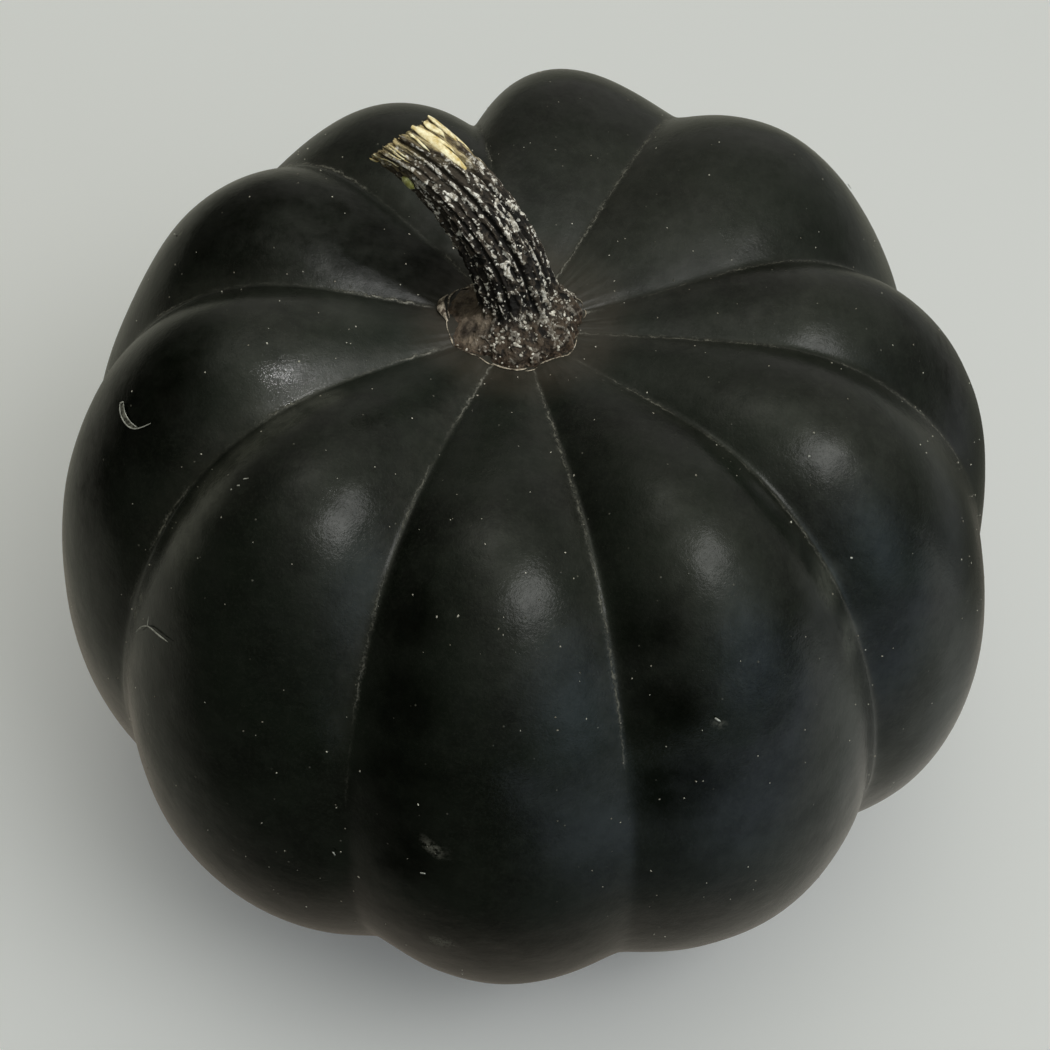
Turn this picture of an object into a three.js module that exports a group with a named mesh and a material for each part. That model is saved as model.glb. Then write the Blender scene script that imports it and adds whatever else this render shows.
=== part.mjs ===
// A small ornamental pumpkin: one dark, ten-ribbed fruit and the woody stem that grew on it.
//
// Millimetres, +Z up. The pumpkin stands on the flattened undersides of its ribs, and the origin is
// on the ground under the middle of the outline. Azimuths are in degrees, from the front (-Y)
// towards the right (+X), so they run anticlockwise as seen from above.
import * as THREE from "three";

// ---- Driving dimensions: the fruit ----

// One entry for each rib, anticlockwise from the front one. furrow, sweep and cut describe the
// furrow where the rib begins: its azimuth at the equator, how far it swings on the way from there
// to the blossom end (and back the same way towards the stem), and its depth as a share of
// MEAN_RADIUS. reach is the rib's radius at the equator, and rise the height that its shoulder
// would have above the equator if there were no hollow round the stem.
const RIBS = [
  { furrow: -18, sweep: 2, cut: 0.07, reach: 58.5, rise: 58.5 },
  { furrow: 15.5, sweep: 0, cut: 0.07, reach: 58.5, rise: 61 },
  { furrow: 53, sweep: 2, cut: 0.09, reach: 60, rise: 58.5 },
  { furrow: 88, sweep: 7, cut: 0.03, reach: 60.5, rise: 56.5 },
  { furrow: 116, sweep: 12, cut: 0.065, reach: 60, rise: 62 },
  { furrow: 159.5, sweep: 8, cut: 0.03, reach: 61, rise: 56.5 },
  { furrow: 192, sweep: 1, cut: 0.17, reach: 55.5, rise: 57 },
  { furrow: 228.5, sweep: 2, cut: 0.095, reach: 55.5, rise: 59.5 },
  { furrow: 268.5, sweep: 3, cut: 0.08, reach: 58, rise: 60 },
  { furrow: 304.5, sweep: 2, cut: 0.07, reach: 59.5, rise: 62 },
];
const MEAN_RADIUS = 60;
const FURROW_RISE = 53; // as a rib's rise, but along the furrows
const STEM_SEAT = 37; // height of the bottom of the stem hollow above the equator
const RIB_DROP = 52.5; // depth that a rib would have below the equator without the hollow there
const FURROW_DROP = 50;
const BLOSSOM_SEAT = 36.5; // depth of the top of the blossom end's hollow below the equator
const STEM_HOLLOW_POWER = 6; // a higher power keeps a hollow closer to its pole
const BLOSSOM_HOLLOW_POWER = 8;
const UNDERSIDE_POWER = 1.2; // above 1 narrows the profile below the equator
const RIB_POWER_TOP = 0.9; // under 1 makes the ribs fuller and the furrows sharper
const RIB_POWER_BOTTOM = 0.7;
const FURROW_SOFTNESS_TOP = 0.1; // share of a rib's width over which the furrow is rounded
const FURROW_SOFTNESS_BOTTOM = 0.35;
const LEAN_X = -0.04; // how far the axis leans for each millimetre of height
const LEAN_Y = 0.048;
const FOOT_LEVEL = -39.6; // the ground, measured from the equator: it flattens the lowest skin
const FOOT_BLEND = 0.2; // height over which the flat runs out into the round skin

// ---- Driving dimensions: the stem, measured from the bottom of the stem hollow ----

const STEM_LINE = [
  new THREE.Vector3(-0.3, 0.7, 0),
  new THREE.Vector3(-0.3, 0.7, 8.5),
  new THREE.Vector3(-5.5, 3.8, 18.5),
  new THREE.Vector3(-16, 6.3, 22.5),
];
const STEM_LOBES = 7; // ridges on the shaft, each ending in a toe of the foot
const SHAFT_RADIUS_LOW = 4.6;
const SHAFT_RADIUS_TIP = 3.3;
const FOOT_RADIUS = 7.7;
const FOOT_OFFSET = 1.1; // the shaft stands this far off the middle of the foot
const FOOT_OFFSET_AZIMUTH = -15;
const TOE_DEPTH = 0.35;
const RIDGE_SHARE = 0.05; // ridge height as a share of the shaft's radius
const FLARE_HEIGHT = 2.6; // height over which the foot runs into the shaft
const CUT_SLANT = 2.5; // difference in length across the cut end
const CUT_SLANT_AZIMUTH = 135;
const STEM_GAP = 0.4; // free space between the foot and the fruit

// ---- Mesh density ----

const COLUMNS_PER_RIB = 10;
const FRUIT_ROWS = 30;
const COLUMNS_PER_LOBE = 6;
const STEM_ROWS = 24;

const radians = THREE.MathUtils.degToRad;
const lerp = THREE.MathUtils.lerp;

// ---- The fruit ----

// Radius and height of a lengthwise profile at a polar angle, which is 0 at the stem.
function profile(radius, rise, drop, polar) {
  const c = Math.cos(polar);
  const s = Math.sin(polar);
  if (c > 0) {
    const hollow = (rise - STEM_SEAT) * c ** STEM_HOLLOW_POWER;
    return [radius * s, rise * c - hollow];
  }
  const hollow = (drop - BLOSSOM_SEAT) * (-c) ** BLOSSOM_HOLLOW_POWER;
  return [radius * s ** UNDERSIDE_POWER, drop * c + hollow];
}

// How far the skin stands out of the furrows: 0 in a furrow and 1 along the crest of a rib.
function fullness(share, polar) {
  const down = (1 - Math.cos(polar)) / 2; // 0 at the stem and 1 at the blossom end
  const soft = lerp(FURROW_SOFTNESS_TOP, FURROW_SOFTNESS_BOTTOM, down);
  const arch = Math.hypot(Math.sin(Math.PI * share), soft) - soft;
  return (arch / (Math.hypot(1, soft) - soft)) ** lerp(RIB_POWER_TOP, RIB_POWER_BOTTOM, down);
}

// Flattens what would reach below the ground, with a short smooth run-out.
function stood(z) {
  const above = z - FOOT_LEVEL;
  if (above >= FOOT_BLEND) return z;
  if (above <= -FOOT_BLEND) return FOOT_LEVEL;
  return FOOT_LEVEL + (above + FOOT_BLEND) ** 2 / (4 * FOOT_BLEND);
}

// A point of the skin, at a share of the way across a rib, from the furrow where it begins.
function fruitPoint(index, share, polar) {
  const rib = RIBS[index];
  const next = RIBS[(index + 1) % RIBS.length];
  const turn = index === RIBS.length - 1 ? 360 : 0;
  const swing = polar / (Math.PI / 2) - 1;
  const azimuth = radians(
    lerp(rib.furrow + rib.sweep * swing, next.furrow + next.sweep * swing + turn, share),
  );
  const cut = lerp(rib.cut, next.cut, share);
  const [ribRadius, ribHeight] = profile(rib.reach, rib.rise, RIB_DROP, polar);
  const [lowRadius, lowHeight] = profile(MEAN_RADIUS * (1 - cut), FURROW_RISE, FURROW_DROP, polar);
  const full = fullness(share, polar);
  const radius = lerp(lowRadius, ribRadius, full);
  const height = stood(lerp(lowHeight, ribHeight, full));
  return new THREE.Vector3(
    radius * Math.sin(azimuth) + LEAN_X * height,
    -radius * Math.cos(azimuth) + LEAN_Y * height,
    height,
  );
}

// Moves evenly spaced columns towards the furrows, where the skin turns fastest.
function crowdToFurrows(share) {
  return share - (0.5 * Math.sin(2 * Math.PI * share)) / (2 * Math.PI);
}

function fruitGeometry() {
  const columns = RIBS.length * COLUMNS_PER_RIB;
  const geometry = new THREE.SphereGeometry(1, columns, FRUIT_ROWS);
  const { position } = geometry.attributes;
  for (let i = 0; i < position.count; i++) {
    const column = (i % (columns + 1)) % columns; // the last column closes on the first
    const row = Math.floor(i / (columns + 1));
    const rib = Math.floor(column / COLUMNS_PER_RIB);
    const share = crowdToFurrows(column / COLUMNS_PER_RIB - rib);
    position.setXYZ(i, ...fruitPoint(rib, share, (Math.PI * row) / FRUIT_ROWS));
  }
  geometry.computeVertexNormals();
  return geometry;
}

// ---- The stem ----

const stemCurve = new THREE.CubicBezierCurve3(...STEM_LINE);
const stemLength = stemCurve.getLength();

// How high the tallest rib stands above the bottom of the stem hollow, at a distance from it.
function seatRise(distance) {
  const polar = Math.asin(distance / MEAN_RADIUS);
  const tallest = Math.max(...RIBS.map((rib) => rib.rise));
  return profile(MEAN_RADIUS, tallest, RIB_DROP, polar)[1] - STEM_SEAT;
}

// Distance of the stem's skin from its centre line.
function stemRadius(azimuth, height) {
  const offset = FOOT_OFFSET * Math.cos(azimuth - radians(FOOT_OFFSET_AZIMUTH));
  const toes = TOE_DEPTH * Math.cos(STEM_LOBES * azimuth);
  const ridges = 1 + RIDGE_SHARE * Math.cos(STEM_LOBES * azimuth);
  const shaft = ridges * lerp(SHAFT_RADIUS_LOW, SHAFT_RADIUS_TIP, height / stemLength);
  const flare = Math.exp(-((height / FLARE_HEIGHT) ** 2));
  return lerp(shaft, FOOT_RADIUS + offset + toes, flare);
}

// A point of the stem: out is 0 on the centre line and 1 on the skin, and along runs from the
// foot (0) to the cut end (1).
function stemPoint(azimuth, out, along) {
  const slant = (1 + Math.cos(azimuth - radians(CUT_SLANT_AZIMUTH))) / 2;
  const height = along * (stemLength - CUT_SLANT * slant * out);
  const tangent = stemCurve.getTangentAt(height / stemLength);
  const side = new THREE.Vector3().crossVectors(new THREE.Vector3(0, 1, 0), tangent).normalize();
  const back = new THREE.Vector3().crossVectors(tangent, side);
  const radius = out * stemRadius(azimuth, height);
  const point = stemCurve
    .getPointAt(height / stemLength)
    .addScaledVector(side, radius * Math.sin(azimuth))
    .addScaledVector(back, -radius * Math.cos(azimuth));
  const cup = seatRise(Math.hypot(point.x, point.y)) * Math.exp(-height / FLARE_HEIGHT);
  point.z += STEM_GAP + cup;
  return point;
}

function stemGeometry() {
  const columns = STEM_LOBES * COLUMNS_PER_LOBE;
  const geometry = new THREE.CylinderGeometry(1, 1, 1, columns, STEM_ROWS);
  const { position } = geometry.attributes;
  for (let i = 0; i < position.count; i++) {
    const x = position.getX(i);
    const z = position.getZ(i);
    const along = (position.getY(i) + 0.5) ** 1.6; // rows crowd towards the flared foot
    position.setXYZ(i, ...stemPoint(Math.atan2(x, z), Math.round(Math.hypot(x, z)), along));
  }
  geometry.computeVertexNormals();
  return geometry;
}

// ---- Materials and assembly ----

const skin = new THREE.MeshStandardMaterial({
  name: "green-black rind",
  color: "#232723",
  roughness: 0.45,
  metalness: 0,
});
const bark = new THREE.MeshStandardMaterial({
  name: "dry stem bark",
  color: "#3b332b",
  roughness: 0.9,
  metalness: 0,
});

function part(name, geometry, material) {
  const mesh = new THREE.Mesh(geometry, material);
  mesh.name = name;
  return mesh;
}

const fruit = part("fruit", fruitGeometry(), skin);
const stem = part("stem", stemGeometry(), bark);
stem.position.set(LEAN_X * STEM_SEAT, LEAN_Y * STEM_SEAT, STEM_SEAT);

const pumpkin = new THREE.Group();
pumpkin.add(fruit, stem);

const outline = new THREE.Box3().setFromObject(pumpkin);
const middle = outline.getCenter(new THREE.Vector3());
pumpkin.position.set(-middle.x, -middle.y, -outline.min.z);

export default pumpkin;
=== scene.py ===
# The looks of a small ornamental pumpkin: its waxy, nearly black rind and its dry, corky stem.
#
# The shape formulas work in millimetres, measured from the middle of the fruit's equator. Meshes
# are in metres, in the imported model's frame: +Z up, the front towards -Y. Azimuths are in degrees
# from the front towards +X, so they run anticlockwise as seen from above.
import math

import bpy
import numpy as np
from mathutils import Matrix, Vector, noise
from mathutils.bvhtree import BVHTree


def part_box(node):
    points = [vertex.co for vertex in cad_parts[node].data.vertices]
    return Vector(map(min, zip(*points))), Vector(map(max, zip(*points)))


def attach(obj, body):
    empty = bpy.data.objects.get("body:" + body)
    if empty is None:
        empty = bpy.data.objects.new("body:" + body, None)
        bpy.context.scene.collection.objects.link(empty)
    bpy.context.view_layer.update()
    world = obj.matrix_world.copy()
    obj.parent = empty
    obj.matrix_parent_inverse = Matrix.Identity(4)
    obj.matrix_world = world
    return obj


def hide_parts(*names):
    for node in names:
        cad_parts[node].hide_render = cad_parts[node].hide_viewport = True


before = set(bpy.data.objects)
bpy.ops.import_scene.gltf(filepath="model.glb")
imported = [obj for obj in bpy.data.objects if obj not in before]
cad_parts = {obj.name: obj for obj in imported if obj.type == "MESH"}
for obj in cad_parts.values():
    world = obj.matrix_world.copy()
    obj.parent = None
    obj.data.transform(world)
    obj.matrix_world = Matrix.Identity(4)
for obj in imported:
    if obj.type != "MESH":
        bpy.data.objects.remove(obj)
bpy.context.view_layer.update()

MM = 0.001

# ---- The fruit's shape, as the solid has it ----

RIB_SIZES = {
    # Where each rib begins: the furrow's azimuth, its swing between the equator and the blossom
    # end, and its depth as a share of MEAN_RADIUS.
    "furrow": [-18, 15.5, 53, 88, 116, 159.5, 192, 228.5, 268.5, 304.5],
    "sweep": [2, 0, 2, 7, 12, 8, 1, 2, 3, 2],
    "cut": [0.07, 0.07, 0.09, 0.03, 0.065, 0.03, 0.17, 0.095, 0.08, 0.07],
    # The rib's radius at the equator, and its shoulder's height.
    "reach": [58.5, 58.5, 60, 60.5, 60, 61, 55.5, 55.5, 58, 59.5],
    "rise": [58.5, 61, 58.5, 56.5, 62, 56.5, 57, 59.5, 60, 62],
}
RIB_COUNT = 10
MEAN_RADIUS = 60
FURROW_RISE = 53
STEM_SEAT = 37
RIB_DROP = 52.5
FURROW_DROP = 50
BLOSSOM_SEAT = 36.5
STEM_HOLLOW_POWER = 6
BLOSSOM_HOLLOW_POWER = 8
UNDERSIDE_POWER = 1.2
RIB_POWER_TOP = 0.9
RIB_POWER_BOTTOM = 0.7
FURROW_SOFTNESS_TOP = 0.1
FURROW_SOFTNESS_BOTTOM = 0.35
LEAN = np.array([-0.04, 0.048])
FOOT_LEVEL = -39.6
FOOT_BLEND = 0.2

# ---- The stem's shape, as the solid has it ----

STEM_LINE = np.array([(-0.3, 0.7, 0), (-0.3, 0.7, 8.5), (-5.5, 3.8, 18.5), (-16, 6.3, 22.5)])
STEM_LOBES = 7
SHAFT_RADIUS_LOW = 4.6
SHAFT_RADIUS_TIP = 3.3
FOOT_RADIUS = 7.7
FOOT_OFFSET = 1.1
FOOT_OFFSET_AZIMUTH = -15
TOE_DEPTH = 0.35
RIDGE_SHARE = 0.05
FLARE_HEIGHT = 2.6
CUT_SLANT = 2.5
CUT_SLANT_AZIMUTH = 135

# ---- Mesh density of what is seen ----

COLUMNS_PER_RIB = 44
RIND_ROWS = 208
STEM_COLUMNS = 256
STEM_ROWS = 230


def mix(a, b, share):
    """a where share is 0 and b where it is 1."""
    return a + (b - a) * share


def smooth_step(low, high, value):
    """0 below low and 1 above high, with a smooth run between them."""
    t = np.clip((value - low) / (high - low), 0, 1)
    return t * t * (3 - 2 * t)


def profile(radius, rise, drop, polar):
    """Radius and height of a lengthwise profile at a polar angle, which is 0 at the stem."""
    c = np.cos(polar)
    s = np.sin(polar)
    upper = rise * c - (rise - STEM_SEAT) * np.maximum(c, 0) ** STEM_HOLLOW_POWER
    lower = drop * c + (drop - BLOSSOM_SEAT) * np.maximum(-c, 0) ** BLOSSOM_HOLLOW_POWER
    above = c > 0
    return radius * np.where(above, s, s**UNDERSIDE_POWER), np.where(above, upper, lower)


def fullness(share, polar):
    """How far the skin stands out of the furrows: 0 in a furrow and 1 along a rib's crest."""
    down = (1 - np.cos(polar)) / 2
    soft = mix(FURROW_SOFTNESS_TOP, FURROW_SOFTNESS_BOTTOM, down)
    arch = np.hypot(np.sin(np.pi * share), soft) - soft
    return (arch / (np.hypot(1, soft) - soft)) ** mix(RIB_POWER_TOP, RIB_POWER_BOTTOM, down)


def stood(z):
    """Flattens what would reach below the ground, with a short smooth run-out."""
    above = z - FOOT_LEVEL
    run_out = FOOT_LEVEL + np.clip(above + FOOT_BLEND, 0, None) ** 2 / (4 * FOOT_BLEND)
    return np.where(above >= FOOT_BLEND, z, run_out)


def skin_points(rib, share, polar):
    """Points of the skin, at a share of the way across a rib from the furrow where it begins."""
    rib = np.asarray(rib)
    following = (rib + 1) % RIB_COUNT
    sizes = {name: np.array(values, float) for name, values in RIB_SIZES.items()}
    turn = np.where(rib == RIB_COUNT - 1, 360, 0)
    swing = polar / (np.pi / 2) - 1
    start = sizes["furrow"][rib] + sizes["sweep"][rib] * swing
    end = sizes["furrow"][following] + sizes["sweep"][following] * swing + turn
    azimuth = np.radians(mix(start, end, share))
    cut = mix(sizes["cut"][rib], sizes["cut"][following], share)
    rib_radius, rib_height = profile(sizes["reach"][rib], sizes["rise"][rib], RIB_DROP, polar)
    low_radius, low_height = profile(MEAN_RADIUS * (1 - cut), FURROW_RISE, FURROW_DROP, polar)
    full = fullness(share, polar)
    radius = mix(low_radius, rib_radius, full)
    height = stood(mix(low_height, rib_height, full))
    x = radius * np.sin(azimuth) + LEAN[0] * height
    y = -radius * np.cos(azimuth) + LEAN[1] * height
    return np.stack([x, y, height], -1)


def outward(points):
    """Unit normals of a grid of points whose rows run down and whose columns run round."""
    down = np.gradient(points, axis=0)
    around = np.roll(points, -1, 1) - np.roll(points, 1, 1)
    normal = np.cross(down, around)
    return normal / np.linalg.norm(normal, axis=-1, keepdims=True)


def crowd_to_furrows(share):
    """Moves evenly spaced columns towards the furrows, where the skin turns fastest."""
    return share - 0.5 * np.sin(2 * np.pi * share) / (2 * np.pi)


column_place = np.arange(RIB_COUNT * COLUMNS_PER_RIB) / COLUMNS_PER_RIB
column_rib = column_place.astype(int)
column_share = crowd_to_furrows(column_place - column_rib)
row_polar = np.linspace(0, np.pi, RIND_ROWS + 1)[1:-1, None]
skin = skin_points(column_rib[None], column_share[None], row_polar)

# The fruit's own outline fills its box, so the equator's middle follows from the two.
fruit_low, fruit_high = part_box("fruit")
outline_middle = (skin.reshape(-1, 3).min(0) + skin.reshape(-1, 3).max(0)) / 2 * MM
EQUATOR = Vector(
    (
        (fruit_low.x + fruit_high.x) / 2 - outline_middle[0],
        (fruit_low.y + fruit_high.y) / 2 - outline_middle[1],
        fruit_low.z - FOOT_LEVEL * MM,
    )
)


def placed(points):
    """Points in millimetres from the equator's middle, as metres in the frame."""
    return np.asarray(points) * MM + np.array(EQUATOR)


# ---- Camera ----

CAMERA_ELEVATION = math.radians(53)
CAMERA_DISTANCE = 282 * MM
CAMERA_ROLL = math.radians(3)
CAMERA_LENS = 75.05  # millimetres, as the sensor's width
SENSOR_WIDTH = 36
AIM_RIGHT = 0.39 * MM  # where the camera looks, measured from the equator's middle
AIM_UP = 0.3 * MM


def make_camera():
    """Looks down on the pumpkin from the front, with the camera rolled a little."""
    data = bpy.data.cameras.new("camera")
    data.lens = CAMERA_LENS
    data.sensor_width = SENSOR_WIDTH
    data.clip_start = 0.01
    data.clip_end = 20
    camera = bpy.data.objects.new("camera", data)
    bpy.context.scene.collection.objects.link(camera)
    cos, sin = math.cos(CAMERA_ELEVATION), math.sin(CAMERA_ELEVATION)
    back = Vector((0, -cos, sin))
    up = Vector((0, sin, cos))
    right = Vector((1, 0, 0))
    turned_right = right * math.cos(CAMERA_ROLL) + up * math.sin(CAMERA_ROLL)
    turned_up = up * math.cos(CAMERA_ROLL) - right * math.sin(CAMERA_ROLL)
    aim = EQUATOR + turned_right * AIM_RIGHT + turned_up * AIM_UP
    turn = Matrix((turned_right, turned_up, back)).transposed().to_4x4()
    camera.matrix_world = Matrix.Translation(aim + back * CAMERA_DISTANCE) @ turn
    bpy.context.scene.camera = camera


make_camera()

# ---- Helpers for materials and node trees ----


def linear(hex_colour):
    """An sRGB hex colour as linear red, green, blue and alpha."""
    channels = [int(hex_colour[i : i + 2], 16) / 255 for i in (1, 3, 5)]
    return tuple(c / 12.92 if c <= 0.04045 else ((c + 0.055) / 1.055) ** 2.4 for c in channels) + (1,)


def give(tree, socket, value):
    """Gives a socket a number, a hex colour, a node's first output or another output."""
    if isinstance(value, bpy.types.Node):
        value = value.outputs[0]
    if isinstance(value, bpy.types.NodeSocket):
        tree.links.new(value, socket)
    elif isinstance(value, str) and value.startswith("#"):
        socket.default_value = linear(value)
    else:
        socket.default_value = value


def add(tree, kind, inputs=None, **settings):
    """Adds a node with its settings, and with a value or a link for each input that is named."""
    made = tree.nodes.new(kind)
    for name, value in settings.items():
        setattr(made, name, value)
    for socket, value in (inputs or {}).items():
        give(tree, made.inputs[socket], value)
    return made


def per(millimetres):
    """The texture scale that repeats a pattern once in this many millimetres."""
    return 1 / (millimetres * MM)


SOFT = {"interpolation_type": "SMOOTHSTEP"}  # for a range with soft ends
RGBA = {"data_type": "RGBA"}


class Finish:
    """A Principled material, whose colour is laid on in layers, and what its layers are made of."""

    def __init__(self, name, colour):
        self.material = bpy.data.materials.new(name)
        self.material.use_nodes = True
        self.tree = self.material.node_tree
        self.shader = self.tree.nodes["Principled BSDF"]
        self.place = self.add("ShaderNodeTexCoord").outputs["Object"]
        self.colour = colour

    def add(self, kind, inputs=None, **settings):
        return add(self.tree, kind, inputs, **settings)

    def blotches(self, size, detail, rough, low, high, start=0.0, end=1.0):
        """Blotches of this size in millimetres: start where noise is below low, end above high."""
        links = {"Vector": self.place, "Scale": per(size), "Detail": detail, "Roughness": rough}
        links = {0: self.add("ShaderNodeTexNoise", links), 1: low, 2: high, 3: start, 4: end}
        return self.add("ShaderNodeMapRange", links, **SOFT)

    def graded(self, name, low, high, start=0.0, end=1.0):
        """A number that the mesh keeps, moved from the range low to high to start to end."""
        kept = self.add("ShaderNodeAttribute", attribute_name=name)
        links = {0: kept.outputs["Fac"], 1: low, 2: high, 3: start, 4: end}
        return self.add("ShaderNodeMapRange", links, **SOFT)

    def marked(self, name, *blotches):
        """Marks that the mesh keeps, broken up by blotches."""
        kept = self.add("ShaderNodeAttribute", attribute_name=name)
        links = {0: kept.outputs["Fac"], 1: self.blotches(*blotches)}
        return self.add("ShaderNodeMath", links, operation="MULTIPLY")

    def stripe(self, across, rise, fall, *breaks):
        """A stripe that comes in over the range rise and goes out over fall, with breaks in it."""
        stripe = self.add("ShaderNodeMapRange", {0: across, 1: rise[0], 2: rise[1]}, **SOFT)
        out = {0: across, 1: fall[0], 2: fall[1], 3: 1.0, 4: 0.0}
        for share in (self.add("ShaderNodeMapRange", out, **SOFT), *breaks):
            stripe = self.add("ShaderNodeMath", {0: stripe, 1: share}, operation="MULTIPLY")
        return stripe

    def lay(self, share, colour, strength=None):
        """Lays a colour over the ones before it, as thick as share and strength say."""
        if strength is not None:
            share = self.add("ShaderNodeMath", {0: share, 1: strength}, operation="MULTIPLY")
        mixed = self.add("ShaderNodeMix", {0: share, 6: self.colour, 7: colour}, **RGBA)
        self.colour = mixed.outputs[2]

    def relief(self, size, depth, detail=2, rough=0.5, distort=0.0, under=None):
        """A normal for lumps of this size and depth in millimetres, on top of another normal."""
        links = {"Vector": self.place, "Scale": per(size), "Detail": detail, "Roughness": rough}
        lumpy = self.add("ShaderNodeTexNoise", {**links, "Distortion": distort})
        below = {} if under is None else {"Normal": under}
        links = {"Height": lumpy, "Distance": depth * MM, "Strength": 1.0, **below}
        return self.add("ShaderNodeBump", links)

    def set(self, **inputs):
        """Gives the shader's own sockets their values or links."""
        for name, value in inputs.items():
            give(self.tree, self.shader.inputs[name.replace("_", " ")], value)
        return self.material


# ---- Finishes ----


def waxed_rind():
    """The skin of a squash under its thin natural wax: almost black green, with a low, soft gloss
    that shows orange-peel pores, brown and dull round the stem, and pale flaky skin in the furrows,
    lighter in places as a painted highlight and sheen, and darkened in others by painted shade."""
    f = Finish("waxed_squash_rind", "#080c07")
    f.lay(f.blotches(13, 3, 0.6, 0.35, 0.65), "#141a13")
    f.lay(f.blotches(1.5, 3, 0.65, 0.45, 0.72, 0, 0.45), "#1f241d")
    f.lay(f.blotches(0.35, 3, 0.7, 0.45, 0.7, 0, 0.5), "#22251f")
    # The skin dries out brown where it meets the stem.
    links = {0: f.graded("stem_distance", 8.5, 15, 1, 0), 1: f.blotches(2.2, 5, 0.7, 0.3, 0.62, 0.6, 1)}
    patchy = f.add("ShaderNodeMath", links, operation="MULTIPLY")
    f.lay(patchy, "#332f28")
    # Scurf: a dull band before each furrow, which is partly a painted highlight along the furrow's edge,
    # frosted near its edge, and a thin broken line of cork.
    side = f.add("ShaderNodeAttribute", attribute_name="furrow_side")
    side = f.add("ShaderNodeMath", {0: side.outputs["Fac"]}, operation="SIGN")
    away = f.add("ShaderNodeAttribute", attribute_name="furrow_distance")
    beside = f.add("ShaderNodeMath", {0: away.outputs["Fac"], 1: side}, operation="MULTIPLY")
    links = {0: beside, 1: f.blotches(1.0, 3, 0.6, 0.3, 0.7, -0.15, 0.15)}
    ragged = f.add("ShaderNodeMath", links, operation="ADD")
    top = f.graded("polar_share", 0.3, 0.43, 1, 0)
    links = {0: top, 1: f.blotches(8, 2, 0.5, 0.4, 0.6, 0.1, 1)}
    stretches = f.add("ShaderNodeMath", links, operation="MULTIPLY")
    patches = f.blotches(1.6, 3, 0.65, 0.3, 0.7, 0.35, 1)
    scurf_and_highlight_band = f.stripe(ragged, (-4.2, -0.9), (-0.2, 0.3), top, patches)
    crystals = f.blotches(0.42, 4, 0.8, 0.46, 0.64)
    frost = f.stripe(ragged, (-0.9, -0.25), (-0.1, 0.2), stretches, crystals)
    broken = f.blotches(1.3, 5, 0.9, 0.44, 0.56)
    line = f.stripe(ragged, (-0.42, -0.28), (-0.24, -0.1), stretches, broken)
    scurf_and_sheen = f.marked("scurf_and_sheen", 1.2, 3, 0.7, 0.3, 0.65, 0.5, 1)
    # In some places the wax has turned dull, and its paler colour there is partly a painted sheen.
    # In others the rind is darkened by painted shade, and on rib 7 by the stem's painted shadow.
    haze_and_sheen = f.marked("dull_wax_and_sheen", 3, 3, 0.6, 0.3, 0.7, 0.5, 1)
    dark = f.marked("painted_shade", 5, 3, 0.6, 0.3, 0.6, 0.6, 1)
    bruise = f.marked("bruise", 1.4, 4, 0.7, 0.35, 0.55)
    # Scuffed places, and specks of dust and cork up to a third of a millimetre across.
    scuff = f.marked("scuff", 0.5, 5, 0.8, 0.42, 0.56)
    cells = f.add("ShaderNodeTexVoronoi", {"Vector": f.place, "Scale": per(1.7)}).outputs
    chosen = f.add("ShaderNodeMapRange", {0: cells["Color"], 1: 0.55, 2: 0.8}, **SOFT)
    links = {0: cells["Distance"], 1: 0.03, 2: 0.09, 3: 1.0, 4: 0.0}
    speck = f.add("ShaderNodeMapRange", links, **SOFT)
    speck = f.add("ShaderNodeMath", {0: speck, 1: chosen}, operation="MULTIPLY")
    # Partly painted highlight: the band is lighter along each furrow's edge.
    f.lay(scurf_and_highlight_band, "#3f3e38", 0.25)
    # Partly painted sheen: the dull wax is also painted paler.
    f.lay(haze_and_sheen, "#3a3c36", 0.35)
    # Painted shade: the rind darkened where shade falls, and the stem's painted shadow on rib 7.
    f.lay(dark, "#060804", 0.75)
    f.lay(frost, "#74736b", 0.35)
    f.lay(line, "#8f8c82", 0.6)
    # Partly painted sheen: lighter scurf on furrow sides that the crease would shade.
    f.lay(scurf_and_sheen, "#55564f", 0.7)
    f.lay(scuff, "#8b897f", 0.62)
    f.lay(speck, "#8c897e", 0.42)
    f.lay(bruise, "#050602", 0.85)
    # The wax gives a low gloss, and is dull near the stem and on what lies on the skin.
    dull = f.graded("stem_distance", 16, 36, 0.6, 0)
    for pattern, share in ((patchy, 0.8), (frost, 1.0), (scuff, 1.0), (scurf_and_highlight_band, 0.2), (haze_and_sheen, 0.2)):
        worn = f.add("ShaderNodeMath", {0: pattern, 1: share}, operation="MULTIPLY")
        dull = f.add("ShaderNodeMath", {0: dull, 1: worn}, operation="MAXIMUM")
    gloss = f.blotches(5, 4, 0.7, 0.3, 0.7, 0.09, 0.16)
    rough = f.add("ShaderNodeMix", {0: dull, 2: gloss, 3: 0.6})
    # It is uneven, and lower on the bruises and on the painted shade.
    thin = f.add("ShaderNodeMath", {0: bruise, 1: dark}, operation="MAXIMUM")
    thin = f.add("ShaderNodeMath", {0: thin, 1: 0.32}, operation="MULTIPLY")
    wax = f.blotches(4, 4, 0.7, 0.3, 0.7, 0.4, 0.62)
    wax = f.add("ShaderNodeMath", {0: wax, 1: thin}, operation="SUBTRACT")
    pores = f.relief(0.36, 0.026, 3, 0.6, 0.8)
    waves = f.relief(3, 0.07, 3, 0.5, under=pores)
    crust = f.add("ShaderNodeMath", {0: line, 1: speck}, operation="ADD")
    links = {"Height": crust, "Distance": 0.05 * MM, "Strength": 1.0, "Normal": waves}
    raised = f.add("ShaderNodeBump", links)
    return f.set(Base_Color=f.colour, Roughness=rough, IOR=1.4, Specular_IOR_Level=wax, Normal=raised)


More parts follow.
